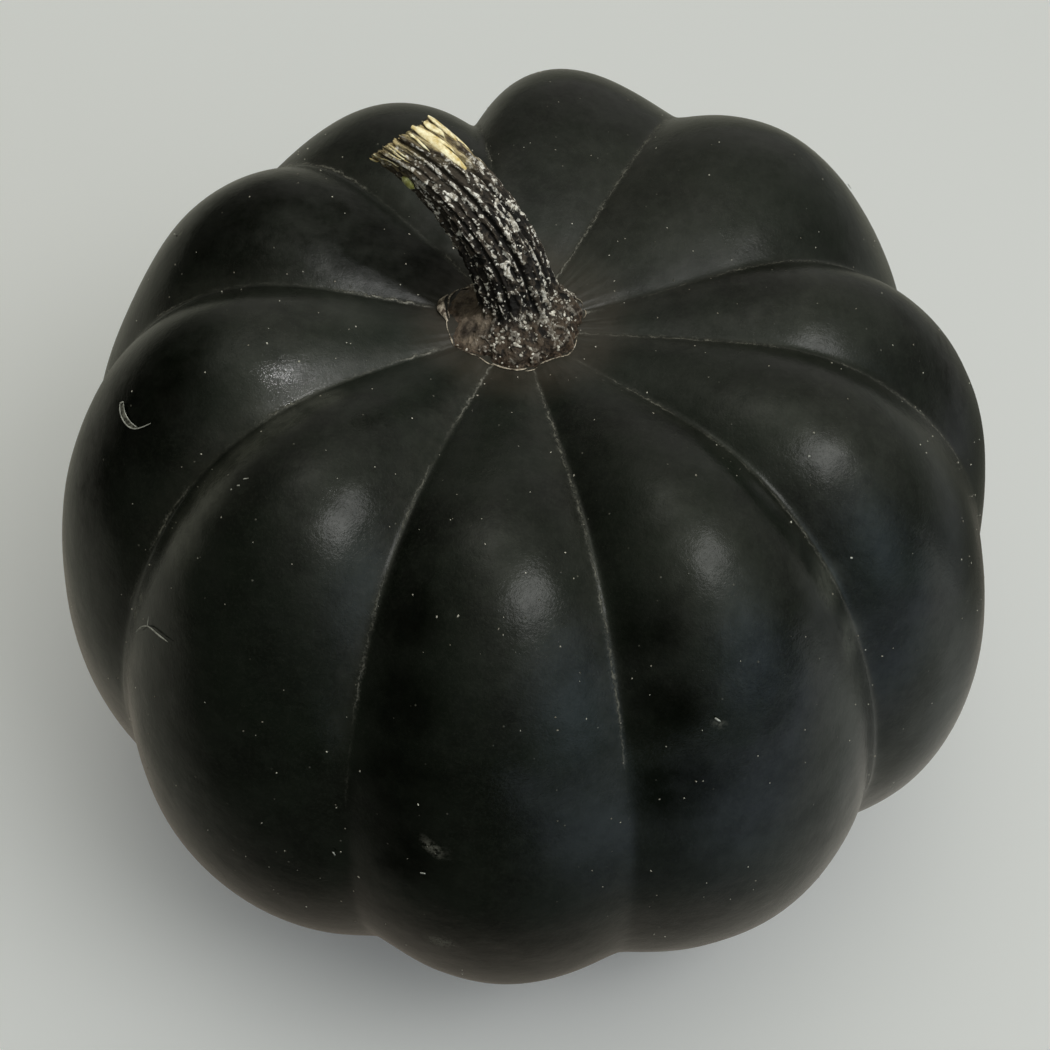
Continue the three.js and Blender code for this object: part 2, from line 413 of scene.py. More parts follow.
def stem_cork():
    """The outside of a dry squash stem: near-black bark with a pale crust of cork on its raised
    parts, paler on its lit side as painted light, straw-coloured where the skin has split off at the
    cut end, and a painted shade line under the foot."""
    f = Finish("dry_stem_cork", "#080604")
    bark_place = f.add("ShaderNodeAttribute", attribute_name="bark_place").outputs["Vector"]
    crust = f.add("ShaderNodeAttribute", attribute_name="crust")
    links = {0: crust.outputs["Fac"], 1: f.blotches(0.4, 3, 0.7, 0.3, 0.7, -0.2, 0.2)}
    height = f.add("ShaderNodeMath", links, operation="ADD")
    f.lay(f.blotches(2.5, 3, 0.6, 0.35, 0.65), "#1c1611")
    f.lay(f.add("ShaderNodeMapRange", {0: height, 1: 0.45, 2: 0.8}, **SOFT), "#3d352c")
    links = {0: f.graded("along_stem", 2.5, 5, 0.6, 0), 1: f.blotches(1.6, 4, 0.7, 0.4, 0.6)}
    f.lay(f.add("ShaderNodeMath", links, operation="MULTIPLY"), "#5b4c3e")
    f.lay(f.graded("along_stem", 14, 25, 0, 0.45), "#5a5042")
    # The crust breaks into small plates, drawn out along the stem, and some have weathered pale,
    # more of them on the upper side as painted light.
    # Their net is shaken by 0.8 mm, so that no plate has a straight edge.
    shake = f.add("ShaderNodeTexNoise", {"Vector": f.place, "Scale": per(0.9)}).outputs["Color"]
    shake = f.add("ShaderNodeVectorMath", {0: shake, "Scale": 0.8 * MM}, operation="SCALE")
    plate_place = f.add("ShaderNodeMapping", {"Vector": bark_place, "Scale": (1, 1, 0.45)})
    plate_place = f.add("ShaderNodeVectorMath", {0: plate_place, 1: shake})
    above_foot = f.graded("along_stem", 2.5, 6, 0.25, 1)
    raised_part = f.add("ShaderNodeMapRange", {0: height, 1: 0.25, 2: 0.5}, **SOFT)
    lift = f.add("ShaderNodeMath", {0: height, 1: 0.45}, operation="MULTIPLY")
    links = {0: f.blotches(0.4, 3, 0.7, 0.4, 0.65), 6: "#8d8578", 7: "#ebe7de"}
    weathered = f.add("ShaderNodeMix", links, **RGBA).outputs[2]
    for size, low, high in ((1.05, 0.9, 0.98), (0.5, 0.92, 1.0)):
        links = {"Vector": plate_place, "Scale": per(size)}
        plates = f.add("ShaderNodeTexVoronoi", links).outputs["Color"]
        plates = f.add("ShaderNodeMath", {0: plates, 1: lift}, operation="ADD")
        pale = f.add("ShaderNodeMapRange", {0: plates, 1: low, 2: high}, **SOFT)
        gaps = f.add("ShaderNodeTexVoronoi", links, feature="DISTANCE_TO_EDGE").outputs["Distance"]
        gaps = f.add("ShaderNodeMapRange", {0: gaps, 1: 0.05, 2: 0.12}, **SOFT)
        for share in (gaps, raised_part, above_foot):
            pale = f.add("ShaderNodeMath", {0: pale, 1: share}, operation="MULTIPLY")
        f.lay(pale, weathered)
    # The smooth web of skin on the left, the scalloped rim, and a painted shade line under it.
    for name, pattern, shade, light in (
        ("web", (2.2, 5, 0.7, 0.32, 0.62), "#2c241c", "#7b6e5f"),
        ("rim", (0.4, 3, 0.7, 0.35, 0.65), "#241710", "#63503f"),
    ):
        tone = f.add("ShaderNodeMix", {0: f.blotches(*pattern), 6: shade, 7: light}, **RGBA)
        f.lay(f.add("ShaderNodeAttribute", attribute_name=name).outputs["Fac"], tone.outputs[2])
    # Painted shade: a near-black line along the foot's lowest edge, where the rim overhangs the rind.
    f.lay(f.graded("along_stem", 0.08, 0.3, 0.9, 0), "#070504")
    # Where the skin has split off, the straw shows in streaks along the stem.
    along = f.add("ShaderNodeMapping", {"Vector": bark_place, "Scale": (1, 1, 0.16)})
    links = {"Vector": along, "Scale": per(0.6), "Detail": 4, "Roughness": 0.7}
    streaks = f.add("ShaderNodeTexNoise", links)
    share = f.add("ShaderNodeMapRange", {0: streaks, 1: 0.42, 2: 0.62}, **SOFT)
    straw = f.add("ShaderNodeMix", {0: share, 6: "#2e2013", 7: "#c4b183"}, **RGBA).outputs[2]
    peeled = f.add("ShaderNodeAttribute", attribute_name="peeled").outputs["Fac"]
    f.lay(peeled, straw)
    furrowed = f.add("ShaderNodeMath", {0: peeled, 1: streaks}, operation="MULTIPLY")
    relief = f.add("ShaderNodeMath", {0: height, 1: furrowed}, operation="ADD")
    links = {"Height": relief, "Distance": 0.2 * MM, "Strength": 1.0}
    raised = f.add("ShaderNodeBump", links)
    return f.set(Base_Color=f.colour, Roughness=0.8, IOR=1.45, Normal=raised)


# The other finishes are dry, matt plant matter in two tones. For each: the tones, the blotches (their
# size in millimetres, detail, roughness, and where in the noise they begin and end), the surface's
# roughness and IOR, and its relief (size, depth, detail and roughness).
DRY_FINISHES = {
    # Torn fibres of the stem's inner wood: dry, matt, and the colour of straw.
    "split_straw_fibre": ("#cdb473", "#fff6d2", (0.8, 3, 0.6, 0.3, 0.7), 0.7, 1.45, (0.3, 0.05)),
    # A chip of stem that dried while it was still yellowish green.
    "dried_green_chip": ("#a9a85a", "#e6e6a8", (0.7, 3, 0.5, 0.35, 0.65), 0.7, 1.45, (0.3, 0.05)),
    # Loose flecks of cork: chalky and off-white.
    "pale_cork_fleck": ("#8a8276", "#e4dfd4", (0.5, 2, 0.5, 0.35, 0.65), 0.65, 1.45, None),
    # The dry edge of rind that tore up round the stem: brown, with pale places where it is thin.
    "torn_rind_edge": ("#3f3429", "#c2b6a4", (1.3, 5, 0.75, 0.42, 0.6), 0.75, 1.45, (0.4, 0.08)),
    # Thin shreds of dry outer skin: nearly white, and paper-like.
    "shed_skin_shred": ("#9c9c96", "#dadad4", (0.5, 3, 0.5, 0.35, 0.65), 0.6, 1.4, None),
    # The thin middle of a shed skin, through which the dark rind shows.
    "shed_skin_film": ("#34332d", "#85847b", (0.5, 4, 0.7, 0.4, 0.6), 0.5, 1.4, None),
    # The corky scar where the flower was: rough, brown and matt.
    "blossom_scar_cork": ("#3a2c1e", "#8a7557", (1.2, 4, 0.7, 0.35, 0.65), 0.85, 1.45, (0.6, 0.3, 4, 0.7)),
}


def dry_finish(name):
    """One of the dry finishes."""
    shade, light, blotches, roughness, ior, relief = DRY_FINISHES[name]
    f = Finish(name, shade)
    f.lay(f.blotches(*blotches), light)
    if relief is not None:
        f.set(Normal=f.relief(*relief))
    return f.set(Base_Color=f.colour, Roughness=roughness, IOR=ior)


def pale_table():
    """A plain, matt, pale table top. The fruit itself meets less light from it than it shows, as if
    a dark card lay there, with paler cards to the left and behind, a bright one on the right that is
    cool in front, and a little light from close round the fruit."""
    f = Finish("plain_pale_table", "#656561")
    f.set(Base_Color="#f8f8fc", Roughness=0.85, IOR=1.45, Emission_Color="#f4f6ff", Emission_Strength=0.06)
    axes = f.add("ShaderNodeSeparateXYZ", {"Vector": f.place}).outputs

    def zone(*edges):
        """A part of the table, by its soft edges: each has its axis, low, high, start and end."""
        inside = 1.0
        for axis, low, high, start, end in edges:
            links = {0: axes[axis], 1: low, 2: high, 3: start, 4: end}
            edge = f.add("ShaderNodeMapRange", links, **SOFT)
            inside = f.add("ShaderNodeMath", {0: inside, 1: edge}, operation="MULTIPLY")
        return inside

    front = ("Y", -0.12, -0.05, 1, 0)
    left = zone(("X", -0.34, -0.2, 0, 1), ("X", -0.08, -0.03, 1, 0), ("Y", -0.11, -0.05, 0, 0.8))
    behind = zone(("Y", 0.05, 0.12, 0, 0.85), ("X", 0.06, 0.2, 1, 0.6))
    right = zone(("X", -0.01, 0.11, 0, 1), ("Y", -0.03, 0.03, 1, 0))
    bright = f.add("ShaderNodeMix", {0: zone(front), 6: "#dadbde", 7: "#cad4e6"}, **RGBA).outputs[2]
    for place, card in ((left, "#b4b2ac"), (behind, "#b4b2ac"), (right, bright)):
        f.lay(place, card)
    shade = f.add("ShaderNodeBsdfDiffuse", {"Color": f.colour})
    # Painted light: for all but the camera the table glows though it is no lamp, beside the fruit on the
    # right, cool in front on the right, and warm close round it.
    beside = zone(("X", 0.1, 0.22, 0, 0.2), ("Y", -0.3, -0.15, 0, 1), ("Y", 0.05, 0.15, 1, 0.4))
    cool = zone(("X", 0.03, 0.08, 0, 0.12), ("X", 0.12, 0.2, 1, 0), front, ("Y", -0.28, -0.18, 0, 1))
    reach = f.add("ShaderNodeVectorMath", {0: f.place}, operation="LENGTH").outputs["Value"]
    close = f.add("ShaderNodeMapRange", {0: reach, 1: 0.065, 2: 0.1, 3: 0.14, 4: 0.0}, **SOFT)
    for strength, colour in ((beside, "#eef2ff"), (close, "#fff0dc"), (cool, "#c8dcff")):
        lit = f.add("ShaderNodeEmission", {"Color": colour, "Strength": strength})
        shade = f.add("ShaderNodeAddShader", {0: shade, 1: lit})
    seen = f.add("ShaderNodeLightPath").outputs["Is Camera Ray"]
    mixed = f.add("ShaderNodeMixShader", {0: seen, 1: shade, 2: f.shader})
    give(f.tree, f.tree.nodes["Material Output"].inputs["Surface"], mixed)
    return f.material


# ---- Meshes from grids ----


def linked(name, data):
    """A new object for a mesh or a lamp, in the scene."""
    made = bpy.data.objects.new(name, data)
    bpy.context.scene.collection.objects.link(made)
    return made


def closed_grid(name, rings, first, last, material):
    """A closed mesh from rings of points that run down from one pole point to another."""
    rows, columns = rings.shape[:2]
    points = np.concatenate([rings.reshape(-1, 3), [first], [last]])
    here = np.arange(columns)
    right = (here + 1) % columns
    upper = (np.arange(rows - 1) * columns)[:, None]
    lower = upper + columns
    quads = np.stack([upper + here, lower + here, lower + right, upper + right], -1).reshape(-1, 4)
    bottom = (rows - 1) * columns
    pole = np.full(columns, rows * columns)
    first_cap = np.stack([pole, here, right], -1)
    last_cap = np.stack([bottom + here, pole + 1, bottom + right], -1)
    mesh = bpy.data.meshes.new(name)
    faces = quads.tolist() + first_cap.tolist() + last_cap.tolist()
    mesh.from_pydata(placed(points).tolist(), [], faces)
    mesh.materials.append(material)
    mesh.polygons.foreach_set("use_smooth", np.ones(len(mesh.polygons), bool))
    mesh.validate()
    return linked(name, mesh)


def azimuth_gap(azimuth, centre):
    """Degrees between an azimuth in radians and one in degrees."""
    return np.abs((np.degrees(azimuth) - centre + 180) % 360 - 180)


def store(piece, name, values, first=0.0, last=0.0):
    """Keeps a number for each point of a closed grid, and for its two poles."""
    attribute = piece.data.attributes.new(name, "FLOAT", "POINT")
    attribute.data.foreach_set("value", np.append(np.ravel(values), [first, last]).astype(np.float32))


def store_vectors(piece, name, values):
    """Keeps a vector for each point of a mesh."""
    attribute = piece.data.attributes.new(name, "FLOAT_VECTOR", "POINT")
    attribute.data.foreach_set("vector", np.ravel(values).astype(np.float32))


def lumps(points, size, octaves=1):
    """Smooth noise of about -1 to 1 at each point, with lumps of this size in millimetres."""
    flat = points.reshape(-1, 3) / size
    values = [noise.fractal(Vector(p), 1.0, 2.0, octaves) for p in flat]
    return np.array(values).reshape(points.shape[:-1])


# ---- The rind ----

DENT_DEPTH = 0.3  # slow unevenness of the ribs
DENT_SIZE = 17
RIPPLE_DEPTH = 0.05
RIPPLE_SIZE = 6
PUCKER_DEPTH = 0.12  # fine folds that run out from the stem
PUCKER_REACH = 5.5
FURROW_LINE_DEPTH = 0.06  # the sharp line along the bottom of a furrow
FURROW_LINE_WIDTH = 0.9
# Marks on the skin. For each: its rib, the share of the way across it, the polar angle in degrees,
# and the radius.
MARKS = {
    # Dark bruises.
    "bruise": [
        (8, 0.63, 46, 0.9), (8, 0.68, 46, 1.0), (8, 0.73, 45.6, 1.1),
        (3, 0.35, 58, 1.6), (5, 0.65, 80, 2.2), (6, 0.3, 70, 1.8),
    ],
    # Painted shade: the stem's painted shadow along rib 7, and shade painted just past some furrows
    # and on a few flanks.
    "painted_shade": [
        (7, 0.4, 14, 7), (7, 0.45, 21, 8), (7, 0.5, 28, 9), (7, 0.6, 35, 9), (7, 0.68, 42, 7),
        (0, 0.15, 48, 3.5), (0, 0.17, 58, 4.5), (0, 0.2, 68, 5), (0, 0.22, 78, 5),
        (1, 0.14, 50, 3.5), (1, 0.14, 60, 4), (1, 0.14, 70, 4.5),
        (8, 0.55, 44, 6), (8, 0.6, 52, 6.5), (8, 0.6, 62, 6.5),
        (3, 0.4, 60, 6), (5, 0.5, 55, 7), (6, 0.4, 80, 7),
    ],
    # Where the wax has turned dull. Its paler colour is partly a painted sheen, on rib 4 by the stem
    # and beside furrows on ribs 8, 9 and 1, where the crease would otherwise shade it.
    "dull_wax_and_sheen": [
        (1, 0.5, 46, 7), (2, 0.5, 44, 8), (3, 0.5, 40, 7), (5, 0.5, 60, 8), (7, 0.5, 75, 8),
        (4, 0.68, 13, 5), (4, 0.68, 20, 8), (4, 0.8, 27, 8),
        (9, 0.15, 31, 3.5), (9, 0.17, 38, 4), (9, 0.22, 45, 4.5),
        (8, 0.84, 34, 3), (8, 0.7, 26, 3), (8, 0.3, 22, 5), (8, 0.25, 31, 5), (8, 0.15, 41, 5),
        (1, 0.87, 52, 4), (1, 0.87, 60, 5), (1, 0.88, 68, 5),
    ],
    # Where the side of a furrow is painted lighter: partly grey scurf, and partly a painted sheen
    # where the crease would shade it.
    "scurf_and_sheen": [
        (9, 0.12, 28, 2.5), (9, 0.13, 34, 3), (9, 0.14, 40, 3), (9, 0.16, 47, 3.5),
        (9, 0.18, 54, 3.5), (1, 0.93, 56, 2.5), (1, 0.93, 64, 2.5),
    ],
    # Scuffed places.
    "scuff": [
        (0, 0.33, 93, 1.0), (0, 0.35, 92.4, 0.7), (0, 0.31, 75, 0.6), (0, 0.34, 75.6, 0.7),
        (0, 0.38, 76.4, 0.4), (1, 0.31, 63, 0.3), (9, 0.05, 69, 0.8), (9, 0.06, 66, 0.6),
        (9, 0.4, 104, 1.2), (3, 0.5, 70, 0.7), (5, 0.45, 62, 0.9), (6, 0.6, 88, 1.2),
        (7, 0.64, 51, 0.5), (4, 0.4, 96, 1.1),
    ],
}


def marks(name):
    """For each point of the skin, 1 within the marks of this name and 0 away from them."""
    marked = np.zeros(skin.shape[:2])
    for rib, share, polar, radius in MARKS[name]:
        away = np.linalg.norm(skin - skin_points(rib, share, np.radians(polar)), axis=-1)
        marked = np.maximum(marked, smooth_step(1.6 * radius, 0.4 * radius, away))
    return marked


def make_rind():
    """The skin of the fruit, and the numbers that its finish and its specks go by."""
    normal = outward(skin)
    seat = skin_points(0, 0.0, np.array(0.0))
    aside = skin[..., :2] - seat[:2]
    from_stem = np.hypot(aside[..., 0], aside[..., 1])
    from_stem = np.where(row_polar < np.pi / 2, from_stem, 2 * MEAN_RADIUS - from_stem)
    # Distance from the nearest furrow, from the width that a tenth of the rib has in its middle.
    across = [skin_points(column_rib[None], share, row_polar) for share in (0.45, 0.55)]
    width = np.linalg.norm(across[1] - across[0], axis=-1) / 0.1
    beside = np.minimum(column_share, 1 - column_share)[None] * width
    azimuth = np.arctan2(aside[..., 0], -aside[..., 1])
    # Noise that is drawn out away from the stem, for the folds there.
    folds = np.stack([13 * np.sin(azimuth), 13 * np.cos(azimuth), from_stem / 9], -1)
    pucker = lumps(folds, 1.0, 2) * np.exp(-np.clip(from_stem - 8, 0, None) / PUCKER_REACH)
    line = np.exp(-((beside / FURROW_LINE_WIDTH) ** 2)) * smooth_step(0.62, 0.3, row_polar / np.pi)
    push = (
        DENT_DEPTH * lumps(skin, DENT_SIZE)
        + RIPPLE_DEPTH * lumps(skin, RIPPLE_SIZE)
        + PUCKER_DEPTH * pucker
        - FURROW_LINE_DEPTH * line
    )
    shaped = skin + normal * push[..., None]
    shaped[..., 2] = np.maximum(shaped[..., 2], FOOT_LEVEL)
    blossom = skin_points(0, 0.0, np.array(np.pi))
    piece = closed_grid("rind", shaped, shaped[0].mean(0), blossom, waxed_rind())
    store(piece, "furrow_distance", beside)
    # Above 0 just past a furrow, and below 0 where the next one is nearer.
    store(piece, "furrow_side", np.broadcast_to(np.sin(2 * np.pi * column_share), beside.shape))
    for name in ("bruise", "painted_shade", "dull_wax_and_sheen", "scurf_and_sheen"):
        store(piece, name, marks(name))
    # The lowest places have rubbed on the ground.
    rubbed = smooth_step(FOOT_LEVEL + 0.6, FOOT_LEVEL, skin[..., 2])
    store(piece, "scuff", np.maximum(marks("scuff"), 0.7 * rubbed))
    # Specks of cork gather a little along the furrows, and underneath there are hardly any.
    dotted = 0.35 + 0.65 * np.exp(-beside / 4)
    store(piece, "dotted", dotted * smooth_step(0.75, 0.45, row_polar / np.pi))
    store(piece, "stem_distance", from_stem, 0, 2 * MEAN_RADIUS)
    store(piece, "polar_share", np.broadcast_to(row_polar / np.pi, from_stem.shape), 0, 1)
    return piece


# ---- The stem ----

TIP_BEND = np.array([0.25, 0.4, 0.3])  # how far the last half of the stem bends beside the solid's
FOOT_TUCK = 0.5  # how much shorter the foot is in front than the solid's
FOOT_LUMPS = 0.45
FOOT_SINK = 0.9  # how far the foot's edge reaches down into the rind
RIM_HEIGHT = 0.9  # thickness of the foot's edge
SCALLOPS = 30  # round the foot's edge
WEB_AZIMUTH = -72  # the side where a smooth web of skin joins the shaft to the foot
CRUST_DEPTH = 0.26
PLATE_SIZE = 1.05  # of the plates that the crust breaks into
RIDGE_COUNT = 26
RIDGE_DEPTH = 0.08
CRACK_COUNT = 9
CRACK_DEPTH = 0.3
ROW_CROWDING = 1.15  # above 1 crowds the rows of the mesh towards the foot
CUT_MORE_SLANT = 1.0  # how much more slanted the cut end is than the solid's
CUT_BACK = 0.1  # how far the bark stops short of the longest fibres
CUT_JAG = 0.5  # how ragged the bark is there
CUT_HOLLOW = 1.2  # how far the pith has sunk into the cut end
# The rings that close the two ends, as shares of the way out from their middles.
CUT_RINGS = (0.25, 0.5, 0.72, 0.88, 0.96)
FOOT_RINGS = (0.8, 0.5)
FOOT_RING_DROP = 0.3


def bezier(t):
    """Point and direction of the stem's centre line."""
    t = np.asarray(t)[..., None]
    a, b, c, d = STEM_LINE
    point = a * (1 - t) ** 3 + 3 * b * t * (1 - t) ** 2 + 3 * c * t**2 * (1 - t) + d * t**3
    ahead = 3 * ((b - a) * (1 - t) ** 2 + 2 * (c - b) * t * (1 - t) + (d - c) * t**2)
    return point, ahead / np.linalg.norm(ahead, axis=-1, keepdims=True)


# The length of the centre line up to each of many steps along it.
line_steps = np.linspace(0, 1, 401)
step_lengths = np.linalg.norm(np.diff(bezier(line_steps)[0], axis=0), axis=-1)
line_lengths = np.append(0, np.cumsum(step_lengths))
STEM_LENGTH = line_lengths[-1]


def seat_rise(distance):
    """How high the tallest rib stands above the bottom of the stem hollow."""
    polar = np.arcsin(np.clip(distance / MEAN_RADIUS, 0, 1))
    return profile(MEAN_RADIUS, max(RIB_SIZES["rise"]), RIB_DROP, polar)[1] - STEM_SEAT


def stem_radius(azimuth, height):
    """Distance of the stem's skin from its centre line."""
    offset = FOOT_OFFSET * np.cos(azimuth - math.radians(FOOT_OFFSET_AZIMUTH))
    toes = TOE_DEPTH * np.cos(STEM_LOBES * azimuth)
    ridges = 1 + RIDGE_SHARE * np.cos(STEM_LOBES * azimuth)
    shaft = ridges * mix(SHAFT_RADIUS_LOW, SHAFT_RADIUS_TIP, height / STEM_LENGTH)
    flare = np.exp(-((height / FLARE_HEIGHT) ** 2))
    tuck = FOOT_TUCK * smooth_step(100, 30, azimuth_gap(azimuth, 10))
    return mix(shaft, FOOT_RADIUS + offset + toes - tuck, flare)


def stem_points(azimuth, radius, height):
    """Points at a distance from the centre line, in millimetres from the equator's middle."""
    t = np.interp(height, line_lengths, line_steps)
    centre, ahead = bezier(t)
    centre = centre + TIP_BEND * smooth_step(15, 29, height)[..., None]
    side = np.cross([0, 1, 0], ahead)
    side /= np.linalg.norm(side, axis=-1, keepdims=True)
    back = np.cross(ahead, side)
    point = centre + side * (radius * np.sin(azimuth))[..., None]
    point = point - back * (radius * np.cos(azimuth))[..., None]
    cup = seat_rise(np.hypot(point[..., 0], point[..., 1])) * np.exp(-height / FLARE_HEIGHT)
    point[..., 2] += cup
    return point + [LEAN[0] * STEM_SEAT, LEAN[1] * STEM_SEAT, STEM_SEAT]


def crackle(points, size):
    """1 along the borders of an irregular net and 0 in its cells, for a net of this size."""
    flat = points.reshape(-1, 3) / size
    values = []
    for p in flat:
        near, following = noise.voronoi(Vector(p))[0][:2]
        values.append(following - near)
    return 1 - smooth_step(0.0, 0.3, np.array(values).reshape(points.shape[:-1]))


def make_stem():
    """The bark of the stem with its foot and its cut end, and the numbers that its finish goes by."""
    azimuth = np.arange(STEM_COLUMNS) / STEM_COLUMNS * 2 * np.pi - np.pi
    around = azimuth[None]
    ring = np.stack([np.sin(azimuth), -np.cos(azimuth), 0 * azimuth], -1)
    # From the rim of the cut end down to the edge of the foot.
    down = np.linspace(0, 1, STEM_ROWS)[:, None]
    slant = (1 + np.cos(around - math.radians(CUT_SLANT_AZIMUTH))) / 2
    jag = lumps(9 * ring, 1.0, 3)[None]
    top = STEM_LENGTH - (CUT_SLANT + CUT_MORE_SLANT) * slant - CUT_BACK - CUT_JAG * jag
    height = top * (1 - down) ** ROW_CROWDING
    radius = stem_radius(around, height)
    bark = np.stack([radius * np.sin(around), -radius * np.cos(around), height], -1)
    # The crust follows a net, a fine grain and low ridges, all drawn out along the stem.
    long = bark * [1, 1, 0.45]
    net = crackle(long + 0.4 * lumps(long, 1.5)[..., None], PLATE_SIZE)
    grain = lumps(bark, 0.7, 3)
    ridge = np.cos(RIDGE_COUNT * around + 2.2 * lumps(bark * [1, 1, 0.15], 4))
    web = smooth_step(48, 26, azimuth_gap(around, WEB_AZIMUTH) + 9 * lumps(bark, 3))
    web = web * smooth_step(5.5, 3.2, height) * smooth_step(0.35, 0.8, height)
    # Painted light: the crust is paler on the side that faces up, towards the lamps.
    up = smooth_step(150, 60, azimuth_gap(around, 80))
    crust = np.clip(0.5 * net + 0.1 + 0.55 * grain + 0.15 * ridge + 0.25 * up, 0, 1)
    scallop = np.abs(np.sin(SCALLOPS / 2 * (around + 0.2 * lumps(3 * ring, 1.0)[None])))
    rim = np.exp(-((height / RIM_HEIGHT) ** 2))
    # Long dark cracks along the shaft.
    crack = np.cos(CRACK_COUNT * around + 1.6 * lumps(bark * [1, 1, 0.12], 3) + 0.8)
    crack = smooth_step(0.8, 1.0, crack) * smooth_step(3, 6, height)
    crust = crust * (1 - 0.8 * crack)
    push = RIDGE_DEPTH * ridge + CRUST_DEPTH * (crust - 0.4) - CRACK_DEPTH * crack
    push = mix(push, 0.05 * grain - 0.4, web)
    push = push + rim * (0.45 * scallop - 0.35 + 0.3 * lumps(bark, 2.2))
    push = push + FOOT_LUMPS * lumps(bark, 2.4, 2) * smooth_step(6, 3, height)
    side = stem_points(around, radius + push, height)
    side[..., 2] -= FOOT_SINK * np.exp(-height / 0.45)
    # The sunken cut end, from its middle outwards, and the underside of the foot.
    lip = side[0]
    centre = lip.mean(0)
    ahead = bezier(np.array(1.0))[1]
    end_rings = []
    end_places = []
    for out in CUT_RINGS:
        end_ring = mix(centre, lip, out) - ahead * CUT_HOLLOW * (1 - out**4)
        end_rings.append(end_ring + ahead * (0.35 * lumps(end_ring, 0.7, 2))[:, None])
        end_places.append(bark[0] * [out, out, 1])
    foot = side[-1]
    below = np.array([0, 0, FOOT_RING_DROP])
    foot_rings = [mix(foot.mean(0), foot, out) - below for out in FOOT_RINGS]
    rings = np.concatenate([end_rings, side, foot_rings])
    first = centre - ahead * CUT_HOLLOW
    piece = closed_grid("stem_bark", rings, first, foot.mean(0) - below, stem_cork())

    # Near the cut end the skin has split off in strings, furthest down on the upper side.
    from_tip = top - height
    stringy = from_tip + 2.2 * lumps(bark * [1, 1, 0.16], 1.0)
    upper_side = smooth_step(70, 40, azimuth_gap(around, 105))
    split = 0.9 * upper_side * smooth_step(7.5, 2.5, stringy)
    split = np.maximum(split, 0.55 * smooth_step(5, 0.5, stringy))
    split = np.maximum(split, smooth_step(1.2, 0.3, from_tip + 0.5 * grain))
    # Flecks of cork gather in clusters, and more on the side that faces front.
    clustered = 0.25 + 0.75 * smooth_step(-0.25, 0.3, lumps(bark, 1.5, 2))
    flecks = (1 - web) * (1 - split) * smooth_step(0.2, 0.9, height) * clustered
    turned_front = smooth_step(150, 70, azimuth_gap(around, 15))
    foot_flecks = flecks * smooth_step(6, 3, height) * turned_front
    shaft_flecks = flecks * smooth_step(24, 6, height) * (0.35 + 0.65 * turned_front)
    ends = np.ones((len(end_rings), STEM_COLUMNS))
    none = np.zeros((len(foot_rings), STEM_COLUMNS))
    # Each number on the bark, with what it is on the cut end and in the middle of that.
    for name, values, at_end, at_middle in (
        ("crust", crust, 0.3, 0.3),
        ("web", web, 0, 0),
        ("rim", rim * (0.5 + 0.5 * scallop), 0, 0),
        ("peeled", split, 0.7, 0.6),
        ("along_stem", height, STEM_LENGTH, STEM_LENGTH),
        ("foot_flecks", foot_flecks, 0, 0),
        ("shaft_flecks", shaft_flecks, 0, 0),
    ):
        store(piece, name, np.concatenate([at_end * ends, values, none]), at_middle)
    place = np.concatenate([end_places, bark, bark[-1:], bark[-1:]]).reshape(-1, 3)
    poles = [[0, 0, STEM_LENGTH], bark[-1, 0]]
    store_vectors(piece, "bark_place", np.concatenate([place, poles]) * MM)
    return piece


# ---- Node trees for what repeats or follows a line ----


def new_tree(name, sockets):
    """A geometry tree with these named inputs. Returns the tree and its inputs by name."""
    tree = bpy.data.node_groups.new(name, "GeometryNodeTree")
    tree.interface.new_socket("Geometry", in_out="INPUT", socket_type="NodeSocketGeometry")
    for label, kind in sockets.items():
        tree.interface.new_socket(label, in_out="INPUT", socket_type=f"NodeSocket{kind}")
    tree.interface.new_socket("Geometry", in_out="OUTPUT", socket_type="NodeSocketGeometry")
    return tree, tree.nodes.new("NodeGroupInput").outputs


def end_tree(tree, geometry, material):
    """Closes a tree with plain geometry in one material."""
    real = add(tree, "GeometryNodeRealizeInstances", {"Geometry": geometry})
    finished = add(tree, "GeometryNodeSetMaterial", {"Geometry": real, "Material": material})
    add(tree, "NodeGroupOutput", {0: finished})
    return tree


